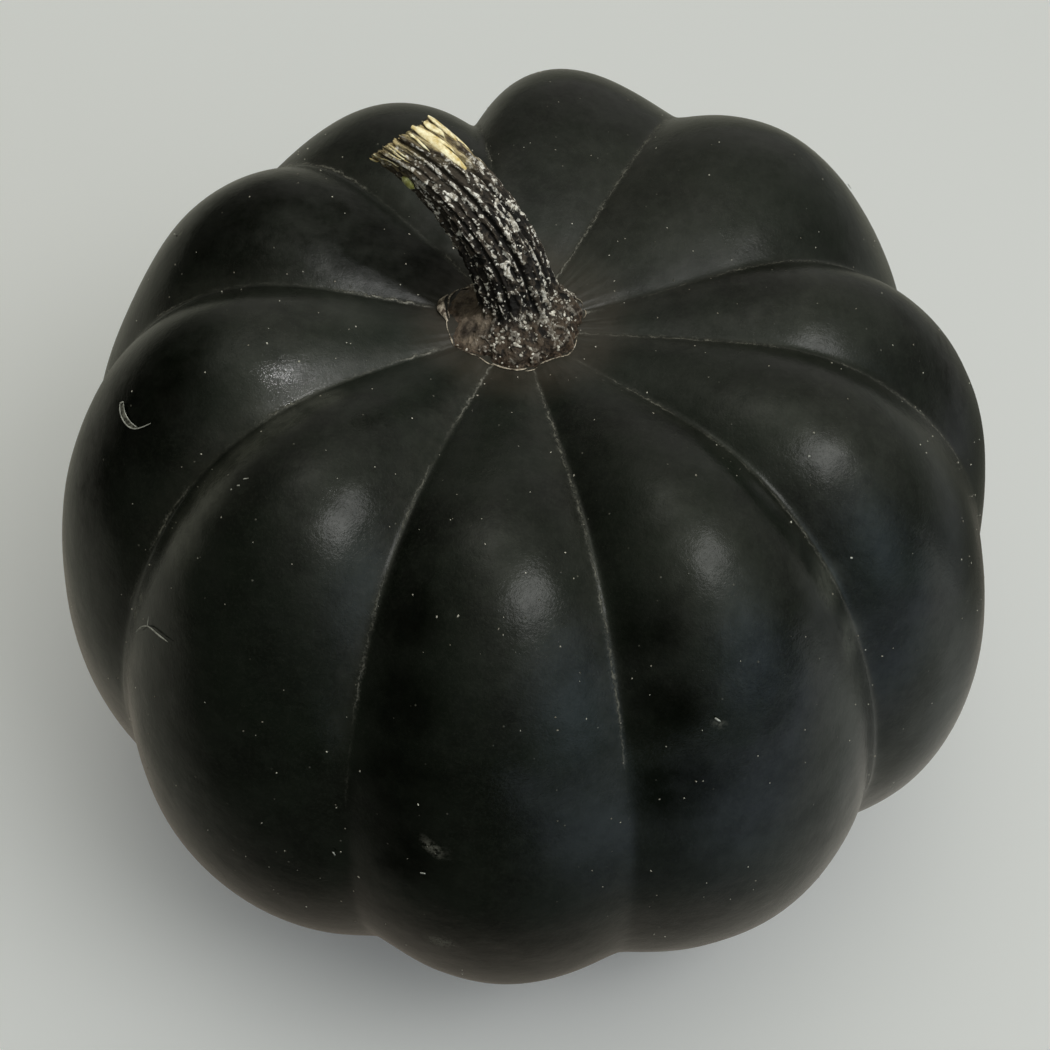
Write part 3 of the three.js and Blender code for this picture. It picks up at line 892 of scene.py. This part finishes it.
def scatter_tree():
    """Strews flat chips over a surface, more of them where the attribute says so."""
    sockets = {
        "Density": "Float",
        "Spread": "String",
        "Smallest": "Float",
        "Largest": "Float",
        "Flatness": "Float",
        "Seed": "Int",
        "Material": "Material",
    }
    tree, given = new_tree("strewn_chips", sockets)
    spread = add(tree, "GeometryNodeInputNamedAttribute", {"Name": given["Spread"]}, data_type="FLOAT")
    density = add(tree, "ShaderNodeMath", {0: given["Density"], 1: spread}, operation="MULTIPLY")
    links = {"Mesh": given["Geometry"], "Density": density, "Seed": given["Seed"]}
    points = add(tree, "GeometryNodeDistributePointsOnFaces", links)
    links = {2: given["Smallest"], 3: given["Largest"], "Seed": given["Seed"]}
    size = add(tree, "FunctionNodeRandomValue", links, data_type="FLOAT")
    # Each chip lies nearly flat, turned any way.
    links = {0: (0, 0, 0), 1: (0.5, 0.5, 6.283), "Seed": given["Seed"]}
    spin = add(tree, "FunctionNodeRandomValue", links, data_type="FLOAT_VECTOR")
    links = {0: (0.6, 0.6, 0.7), 1: (1.5, 1.0, 1.2), "Seed": given["Seed"]}
    form = add(tree, "FunctionNodeRandomValue", links, data_type="FLOAT_VECTOR")
    flat = add(tree, "ShaderNodeCombineXYZ", {0: 1.0, 1: 1.0, 2: given["Flatness"]})
    flattened = add(tree, "ShaderNodeVectorMath", {0: form, 1: flat}, operation="MULTIPLY")
    links = {0: flattened, 3: size.outputs[1]}
    scale = add(tree, "ShaderNodeVectorMath", links, operation="SCALE")
    turn = add(tree, "FunctionNodeEulerToRotation", {0: spin})
    links = {0: points.outputs["Rotation"], 1: turn}
    turned = add(tree, "FunctionNodeRotateRotation", links, rotation_space="LOCAL")
    chip = add(tree, "GeometryNodeMeshIcoSphere", {"Radius": 1.0, "Subdivisions": 1})
    links = {"Points": points, "Instance": chip, "Rotation": turned, "Scale": scale}
    return end_tree(tree, add(tree, "GeometryNodeInstanceOnPoints", links), given["Material"])


def strand_tree():
    """Turns lines with a width at each point into flat strips that lie on their surface."""
    tree, given = new_tree("flat_strands", {"Thickness": "Float", "Material": "Material"})
    line = add(tree, "GeometryNodeMeshToCurve", {0: given["Geometry"]})
    facing = add(tree, "GeometryNodeInputNamedAttribute", {"Name": "facing"}, data_type="FLOAT_VECTOR")
    line = add(tree, "GeometryNodeSetCurveNormal", {0: line, "Normal": facing}, mode="FREE")
    width = add(tree, "GeometryNodeInputNamedAttribute", {"Name": "width"}, data_type="FLOAT")
    ring = add(tree, "GeometryNodeCurvePrimitiveCircle", {"Resolution": 7, "Radius": 0.5})
    shape = add(tree, "ShaderNodeCombineXYZ", {0: given["Thickness"], 1: 1.0, 2: 1.0})
    section = add(tree, "GeometryNodeTransform", {0: ring, "Scale": shape})
    links = {"Curve": line, "Profile Curve": section, "Scale": width, "Fill Caps": True}
    strip = add(tree, "GeometryNodeCurveToMesh", links)
    smooth = add(tree, "GeometryNodeSetShadeSmooth", {0: strip, "Shade Smooth": True})
    return end_tree(tree, smooth, given["Material"])


def grown(name, host, tree, **values):
    """Runs a tree on a host object and returns its result as a piece with a plain mesh."""
    modifier = host.modifiers.new("grow", "NODES")
    modifier.node_group = tree
    sockets = {item.name: item.identifier for item in tree.interface.items_tree if item.in_out == "INPUT"}
    for label, value in values.items():
        modifier[sockets[label]] = value
    host.update_tag()
    graph = bpy.context.evaluated_depsgraph_get()
    mesh = bpy.data.meshes.new_from_object(host.evaluated_get(graph), depsgraph=graph)
    host.modifiers.remove(modifier)
    mesh.name = name
    return linked(name, mesh)


# Strewn chips of cork: the number on the host that says where they gather, how many lie on a square
# metre, their smallest and largest radius in millimetres, how flat they are, and the random seed.
STREWN = {
    "foot_flecks": ("foot_flecks", 1.4e6, 0.08, 0.32, 0.4, 11),
    "shaft_flecks": ("shaft_flecks", 1e6, 0.06, 0.2, 0.5, 12),
    "cork_dots": ("dotted", 4e4, 0.05, 0.14, 0.6, 5),
}
# Strips: their thickness as a share of their width, and their finish.
STRIPS = {
    "stem_fibres": (0.4, "split_straw_fibre"),
    "green_chip": (0.45, "dried_green_chip"),
    "torn_rind_edge": (0.4, "torn_rind_edge"),
    "skin_shreds": (0.5, "shed_skin_shred"),
    "skin_shred_film": (0.15, "shed_skin_film"),
}


def strew(name, host, tree, material):
    """Chips of cork on a host object."""
    spread, density, smallest, largest, flatness, seed = STREWN[name]
    sizes = {"Smallest": smallest * MM, "Largest": largest * MM, "Flatness": flatness}
    return grown(name, host, tree, Density=density, Spread=spread, Seed=seed, Material=material, **sizes)


def strands(name, lines, tree):
    """Strips along lines. Each line is its points, its widths and the directions that it faces."""
    points, edges, widths, facings = [], [], [], []
    for line_points, line_widths, line_facings in lines:
        start = len(points)
        count = len(line_points)
        points += placed(line_points).tolist()
        edges += [(start + i, start + i + 1) for i in range(count - 1)]
        widths += list(np.broadcast_to(line_widths, count) * MM)
        facings += np.asarray(line_facings).tolist()
    mesh = bpy.data.meshes.new(name + "_lines")
    mesh.from_pydata(points, edges, [])
    mesh.attributes.new("width", "FLOAT", "POINT").data.foreach_set("value", widths)
    mesh.attributes.new("facing", "FLOAT_VECTOR", "POINT").data.foreach_set("vector", np.ravel(facings))
    host = linked(name + "_lines", mesh)
    thickness, finish = STRIPS[name]
    piece = grown(name, host, tree, Thickness=thickness, Material=dry_finish(finish))
    bpy.data.objects.remove(host)
    return piece


# ---- Splinters at the cut end ----

# Strips of straw where the skin split off: azimuth, distance from the cut end where the strip
# starts and ends, width, and how far its start curls away from the stem.
STRAW_STRIPS = [
    (128, -0.1, 6.2, 1.6, 0.05),
    (104, -0.3, 3.6, 1.0, 0.1),
    (90, 0.0, 2.4, 0.9, 0.15),
    (80, -0.1, 4.4, 0.5, 0.0),
    (68, -0.4, 7.0, 1.0, 0.0),
    (52, 0.1, 3.0, 0.3, 0.0),
    (14, 0.2, 2.6, 0.25, 0.0),
    (-20, -0.2, 1.4, 0.4, 0.05),
    (-48, -0.2, 1.0, 0.5, 0.0),
    (-78, 0.0, 2.2, 0.3, 0.05),
    (158, 0.1, 3.6, 0.6, 0.1),
    (-168, 0.0, 2.6, 0.5, 0.1),
    (-128, -0.1, 2.4, 0.35, 0.1),
]
SPLINTER_COUNT = 12
STRIP_POINTS = 12
STRIP_LIFT = 0.12  # how far a strip's middle lies above the bark
CHIP_AZIMUTH = -36
CHIP_FROM_TIP = (4.3, 6.4)  # where the green chip starts and ends
CHIP_WIDTH = 1.5


def stem_line(azimuth, start, end, width, curl, rng):
    """One strip along the stem, between two distances from the cut end."""
    share = np.linspace(0, 1, STRIP_POINTS)
    a = np.radians(azimuth + rng.uniform(-2, 2) + 3 * np.sin(share * 3 + rng.uniform(0, 6)))
    slant = (1 + np.cos(a - math.radians(CUT_SLANT_AZIMUTH))) / 2
    over = mix(start, end, share) + (CUT_SLANT + CUT_MORE_SLANT) * slant + CUT_BACK
    height = np.minimum(STEM_LENGTH - over, STEM_LENGTH)
    radius = stem_radius(a, height)
    lift = STRIP_LIFT + curl * (1 - share) ** 3 * 2.0
    # Its far end dips into the bark.
    lift = np.where(share > 0.85, mix(lift, -0.1, (share - 0.85) / 0.15), lift)
    points = stem_points(a, radius + lift, height)
    ahead = bezier(np.array(1.0))[1]
    points += ahead * np.clip(-over, 0, None)[:, None]
    facing = stem_points(a, radius + 1, height) - stem_points(a, radius, height)
    taper = width * np.minimum(1, np.minimum(4 * share + 0.35, 3 * (1 - share) + 0.15))
    return points, taper, facing


def make_splinters(tree):
    """The strips of straw, and finer splinters between them."""
    rng = np.random.default_rng(7)
    lines = [stem_line(*strip, rng) for strip in STRAW_STRIPS]
    for _ in range(SPLINTER_COUNT):
        azimuth = rng.uniform(-180, 180)
        start = rng.uniform(-0.3, 0.8)
        end = start + rng.uniform(1.0, 3.2)
        lines.append(stem_line(azimuth, start, end, rng.uniform(0.1, 0.24), rng.uniform(0, 0.2), rng))
    return strands("stem_fibres", lines, tree)


def make_green_chip(tree):
    """The chip of stem that stayed green, on the shaft's left side below the cut end."""
    rng = np.random.default_rng(3)
    line = stem_line(CHIP_AZIMUTH, *CHIP_FROM_TIP, CHIP_WIDTH, 0.0, rng)
    return strands("green_chip", [line], tree)


# ---- The torn edge of rind round the foot ----

TORN_BITS = 30
BIT_POINTS = 9
# The largest bit stands up on the left: its azimuths, its widths at the ends and in the middle, and
# how high its middle stands.
FLAP_AZIMUTHS = (-104, -76)
FLAP_END_WIDTH = 0.25
FLAP_WIDTH = 1.2
FLAP_HEIGHT = 0.54
FLAP_POINTS = 16


def surface_of(piece):
    """A piece's surface, for finding where something comes to lie on it."""
    mesh = piece.data
    return BVHTree.FromPolygons([v.co for v in mesh.vertices], [p.vertices[:] for p in mesh.polygons])


def resting(surface, points, lift):
    """Points moved straight up or down to lie this many millimetres above a surface."""
    moved = []
    well_above = fruit_high.z + 100 * MM
    for x, y, _ in placed(points):
        spot = surface.ray_cast(Vector((x, y, well_above)), Vector((0, 0, -1)))[0]
        moved.append((np.array(spot) - np.array(EQUATOR)) / MM)
    return np.array(moved) + np.array([0, 0, 1]) * np.reshape(lift, (-1, 1))


def foot_edge(azimuth, beyond):
    """Points round the foot, this far outside its edge."""
    return stem_points(azimuth, stem_radius(azimuth, 0 * azimuth) + beyond, 0 * azimuth)


def make_torn_edge(tree, surface):
    """Bits of torn rind round the foot, and the flap."""
    rng = np.random.default_rng(21)
    lines = []
    for i in range(TORN_BITS):
        middle = 360 * (i + rng.uniform(-0.3, 0.3)) / TORN_BITS
        azimuth = np.radians(middle + np.linspace(-1, 1, BIT_POINTS) * rng.uniform(4, 11))
        wander = rng.uniform(-0.15, 0.3) * np.sin(np.linspace(0, 3, BIT_POINTS))
        wander += rng.uniform(-0.05, 0.35)
        rim = resting(surface, foot_edge(azimuth, wander), rng.uniform(0.02, 0.2))
        bow = np.sin(np.linspace(0.2, np.pi - 0.2, BIT_POINTS))
        facing = np.tile([0.0, 0.0, 1.0], (BIT_POINTS, 1)) + rng.uniform(-0.4, 0.4, 3)
        lines.append((rim, rng.uniform(0.1, 0.26) * bow, facing))
    azimuth = np.radians(np.linspace(*FLAP_AZIMUTHS, FLAP_POINTS))
    bow = np.sin(np.linspace(0, np.pi, FLAP_POINTS))
    flap = resting(surface, foot_edge(azimuth, 0.4 + 0.5 * bow), 0.1 + FLAP_HEIGHT * bow)
    outside = flap - flap.mean(0) + (flap.mean(0) - foot_edge(azimuth, 0).mean(0)) * 3
    facing = outside / np.linalg.norm(outside, axis=-1, keepdims=True) + [0, 0, 0.5]
    lines.append((flap, mix(FLAP_END_WIDTH, FLAP_WIDTH, bow**2), facing))
    return strands("torn_rind_edge", lines, tree)


# ---- Shreds of shed skin on the left of the fruit ----

# Each shred: its rib, its places as share of the way across the rib and polar angle in degrees, and
# its widths at the two ends.
SHREDS = [
    (8, [(0.54, 53), (0.57, 53.6), (0.62, 53.4), (0.67, 52.8), (0.7, 51.5), (0.72, 49.5)], 0.22, 0.14),
    (8, [(0.55, 52.4), (0.58, 52.7), (0.62, 52.6), (0.66, 52.2), (0.69, 51.6)], 0.14, 0.14),
    (8, [(0.54, 53.1), (0.55, 52.4)], 0.2, 0.2),
    (9, [(0.12, 69.4), (0.15, 67.6), (0.2, 66), (0.24, 65.5), (0.34, 64.6)], 0.1, 0.24),
    (9, [(0.2, 66.2), (0.19, 65)], 0.12, 0.05),
]
FILM = (8, [(0.55, 52.8), (0.58, 53.1), (0.62, 53), (0.66, 52.5), (0.69, 51.8)], 0.65, 0.35)
# How far the middles of the shreds, the film and the fibres lie above the skin.
SHRED_LIFT = 0.3
FILM_LIFT = 0.25
LINT_LIFT = 0.2
SHRED_POINTS = 24
RIB_WIDTH = 36  # about, at the height of the marks
LINT_WIDTHS = (0.22, 0.2)
# Short white fibres that lie on the skin: rib, share, polar angle, turn in degrees and length.
LINT = [
    (9, 0.32, 42.3, -35, 1.1),
    (9, 0.31, 43.6, -30, 0.6),
    (9, 0.29, 44.6, 0, 0.25),
    (9, 0.96, 82.6, 70, 0.7),
    (0, 0.29, 79.4, -10, 0.7),
    (2, 0.22, 40.6, 20, 0.4),
    (2, 0.09, 55, 40, 0.3),
    (1, 0.3, 62.5, 50, 0.9),
    (7, 0.62, 52.8, -60, 1.0),
    (4, 0.35, 58, 20, 0.9),
    (5, 0.7, 77, -40, 0.7),
    (6, 0.4, 60, 75, 1.0),
]


def rounded(values):
    """The same values with their corners smoothed away and their ends kept."""
    for _ in range(6):
        values = np.concatenate([values[:1], (values[:-2] + values[2:]) / 2, values[-1:]])
    return values


def shred_line(rib, places, first_width, last_width, lift):
    """A line over the skin of a rib, through places on it."""
    steps = np.linspace(0, len(places) - 1, SHRED_POINTS)
    share = rounded(np.interp(steps, range(len(places)), [p[0] for p in places]))
    polar = rounded(np.radians(np.interp(steps, range(len(places)), [p[1] for p in places])))
    base = skin_points(rib, share, polar)
    facing = base / np.linalg.norm(base, axis=-1, keepdims=True)
    ends = np.minimum(1, 6 * np.minimum(steps, steps[-1] - steps) / steps[-1] + 0.3)
    width = mix(first_width, last_width, steps / steps[-1]) * ends
    return base + facing * lift, width, facing


def make_shreds(tree):
    """The edges of the shed skins, and the fibres."""
    lines = [shred_line(*shred, SHRED_LIFT) for shred in SHREDS]
    for rib, share, polar, turn, length in LINT:
        half = length / 2 * np.array([math.cos(math.radians(turn)), math.sin(math.radians(turn))])
        across = half[0] / RIB_WIDTH
        along = math.degrees(half[1] / MEAN_RADIUS)
        ends = [(share - across, polar - along), (share + across, polar + along)]
        lines.append(shred_line(rib, ends, *LINT_WIDTHS, LINT_LIFT))
    return strands("skin_shreds", lines, tree)


def make_shred_film(tree):
    """What is left of the middle of the larger shed skin."""
    return strands("skin_shred_film", [shred_line(*FILM, FILM_LIFT)], tree)


# ---- The blossom end ----

SCAR_RADIUS = 5.5
SCAR_COLUMNS = 96
SCAR_CORNERS = 5  # it is a blunt star, as the flower was
SCAR_CORNER_REACH = 0.09  # share of the radius by which the corners stand out
SCAR_LUMPS = 0.25
# Its profile from the edge inwards: share of its radius, and how far it hangs below its seat.
SCAR_PROFILE = [
    (1.0, -0.9), (0.97, 0.25), (0.88, 0.75), (0.7, 0.7), (0.5, 0.35), (0.32, 0.5), (0.15, 1.0),
]


def make_blossom_scar():
    """The scar in the hollow underneath."""
    azimuth = np.arange(SCAR_COLUMNS) / SCAR_COLUMNS * 2 * np.pi
    seat = skin_points(0, 0.0, np.array(np.pi))
    rings = []
    for out, drop in SCAR_PROFILE:
        star = 1 + SCAR_CORNER_REACH * np.cos(SCAR_CORNERS * azimuth) * out
        star = SCAR_RADIUS * star * out
        ring = np.stack([star * np.sin(azimuth), -star * np.cos(azimuth), 0 * azimuth - drop], -1)
        ring = ring + seat
        rings.append(ring + SCAR_LUMPS * lumps(ring, 1.4, 3)[:, None] * [0.6, 0.6, 1])
    rings = np.array(rings)
    top = seat + [0, 0, 0.9]
    middle = rings[-1].mean(0) - [0, 0, 0.2]
    return closed_grid("blossom_scar", rings, top, middle, dry_finish("blossom_scar_cork"))


# ---- Table and light ----

# Soft light all round: azimuth and elevation of its middle, how tightly it gathers there, and its
# strength in red, green and blue.
SOFT_LIGHT = [
    (75, 72, 2, (0.27, 0.28, 0.23)),
    (75, 72, 5, (0.32, 0.34, 0.28)),
    (60, 60, 14, (0.44, 0.46, 0.41)),
    (55, 60, 40, (0.46, 0.46, 0.43)),
    (50, 30, 12, (0.28, 0.31, 0.31)),
    (52, 12, 14, (0.34, 0.46, 0.58)),
    (15, 35, 6, (0.10, 0.10, 0.10)),
    (105, 22, 6, (0.10, 0.10, 0.10)),
    (180, 30, 4, (0.14, 0.13, 0.12)),
    (160, 12, 6, (0.18, 0.18, 0.17)),
    (-160, 68, 12, (0.22, 0.22, 0.19)),
    (-150, 78, 40, (0.46, 0.46, 0.41)),
    (-100, 80, 10, (0.05, 0.05, 0.05)),
]
AMBIENT = (0.079, 0.078, 0.067)  # what comes from everywhere


def towards(azimuth, elevation):
    """The direction from the pumpkin to this azimuth and elevation, in degrees."""
    a, e = math.radians(azimuth), math.radians(elevation)
    return Vector((math.cos(e) * math.sin(a), -math.cos(e) * math.cos(a), math.sin(e)))


def light_the_room():
    """Even, weak light from all round, with the soft lights on top of it."""
    world = bpy.data.worlds.new("soft_studio")
    bpy.context.scene.world = world
    world.use_nodes = True
    tree = world.node_tree
    tree.nodes.clear()
    direction = add(tree, "ShaderNodeTexCoord").outputs["Generated"]
    total = add(tree, "ShaderNodeRGB")
    total.outputs[0].default_value = AMBIENT + (1,)
    for azimuth, elevation, tightness, strength in SOFT_LIGHT:
        links = {0: direction, 1: towards(azimuth, elevation)}
        facing = add(tree, "ShaderNodeVectorMath", links, operation="DOT_PRODUCT").outputs["Value"]
        facing = add(tree, "ShaderNodeMath", {0: facing, 1: 0.0}, operation="MAXIMUM")
        gathered = add(tree, "ShaderNodeMath", {0: facing, 1: tightness}, operation="POWER")
        links = {0: strength, "Scale": gathered}
        part = add(tree, "ShaderNodeVectorMath", links, operation="SCALE")
        total = add(tree, "ShaderNodeVectorMath", {0: total, 1: part}, operation="ADD")
    background = add(tree, "ShaderNodeBackground", {"Color": total, "Strength": 1.0})
    add(tree, "ShaderNodeOutputWorld", {"Surface": background})


# The lamps' distances and sizes are in metres, and their powers in watts.
KEY_AZIMUTH = 53
KEY_ELEVATION = 57
KEY_DISTANCE = 0.6
KEY_SIZE = (0.3, 0.2)
KEY_POWER = 0.36


def hang(name, data, target, azimuth, elevation, distance):
    """Hangs a lamp in this direction from its target, and turns it towards that."""
    lamp = linked(name, data)
    away = towards(azimuth, elevation)
    lamp.location = target + away * distance
    lamp.rotation_mode = "QUATERNION"
    lamp.rotation_quaternion = away.to_track_quat("Z", "Y")


def make_key_light():
    """A window, which shows as the soft highlight on each rib."""
    data = bpy.data.lights.new("window", "AREA")
    data.shape = "RECTANGLE"
    data.size, data.size_y = KEY_SIZE
    data.energy = KEY_POWER
    hang("window", data, EQUATOR, KEY_AZIMUTH, KEY_ELEVATION, KEY_DISTANCE)


STEM_LAMP_AZIMUTH = 60
STEM_LAMP_ELEVATION = 76
STEM_LAMP_DISTANCE = 0.5
STEM_LAMP_CONE = 5.2  # degrees, so that it lights the stem and little else
STEM_LAMP_RADIUS = 0.015
STEM_LAMP_POWER = 6.5


def make_stem_lamp():
    """A small lamp with a narrow tube on it, which picks out the dry stem."""
    data = bpy.data.lights.new("stem_lamp", "SPOT")
    data.energy = STEM_LAMP_POWER
    data.spot_size = math.radians(STEM_LAMP_CONE)
    data.spot_blend = 1.0
    data.shadow_soft_size = STEM_LAMP_RADIUS
    low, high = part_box("stem")
    middle = (low + high) / 2
    hang("stem_lamp", data, middle, STEM_LAMP_AZIMUTH, STEM_LAMP_ELEVATION, STEM_LAMP_DISTANCE)


TABLE_REACH = 2.0  # metres from its middle to its sides


def make_table():
    """The table top that the pumpkin stands on."""
    mesh = bpy.data.meshes.new("table")
    corners = [(-1, -1), (1, -1), (1, 1), (-1, 1)]
    points = [(x * TABLE_REACH, y * TABLE_REACH, fruit_low.z) for x, y in corners]
    mesh.from_pydata(points, [], [(0, 1, 2, 3)])
    mesh.materials.append(pale_table())
    linked("table", mesh)


# ---- Assembly ----

chips = scatter_tree()
strips = strand_tree()
cork = dry_finish("pale_cork_fleck")

rind = make_rind()
stem_bark = make_stem()
surface = surface_of(rind)
foot_flecks = strew("foot_flecks", stem_bark, chips, cork)
shaft_flecks = strew("shaft_flecks", stem_bark, chips, cork)
cork_dots = strew("cork_dots", rind, chips, cork)
stem_fibres = make_splinters(strips)
chip = make_green_chip(strips)
torn_edge = make_torn_edge(strips, surface)
shreds = make_shreds(strips)
shred_film = make_shred_film(strips)
blossom_scar = make_blossom_scar()

for slot, pieces in (
    ("rind", (rind, cork_dots, torn_edge, shreds, shred_film, blossom_scar)),
    ("stem", (stem_bark, foot_flecks, shaft_flecks, stem_fibres, chip)),
):
    for piece in pieces:
        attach(piece, "root")
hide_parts("fruit")
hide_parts("stem")

make_table()
light_the_room()
make_key_light()
make_stem_lamp()
bpy.context.scene.view_settings.view_transform = "Standard"
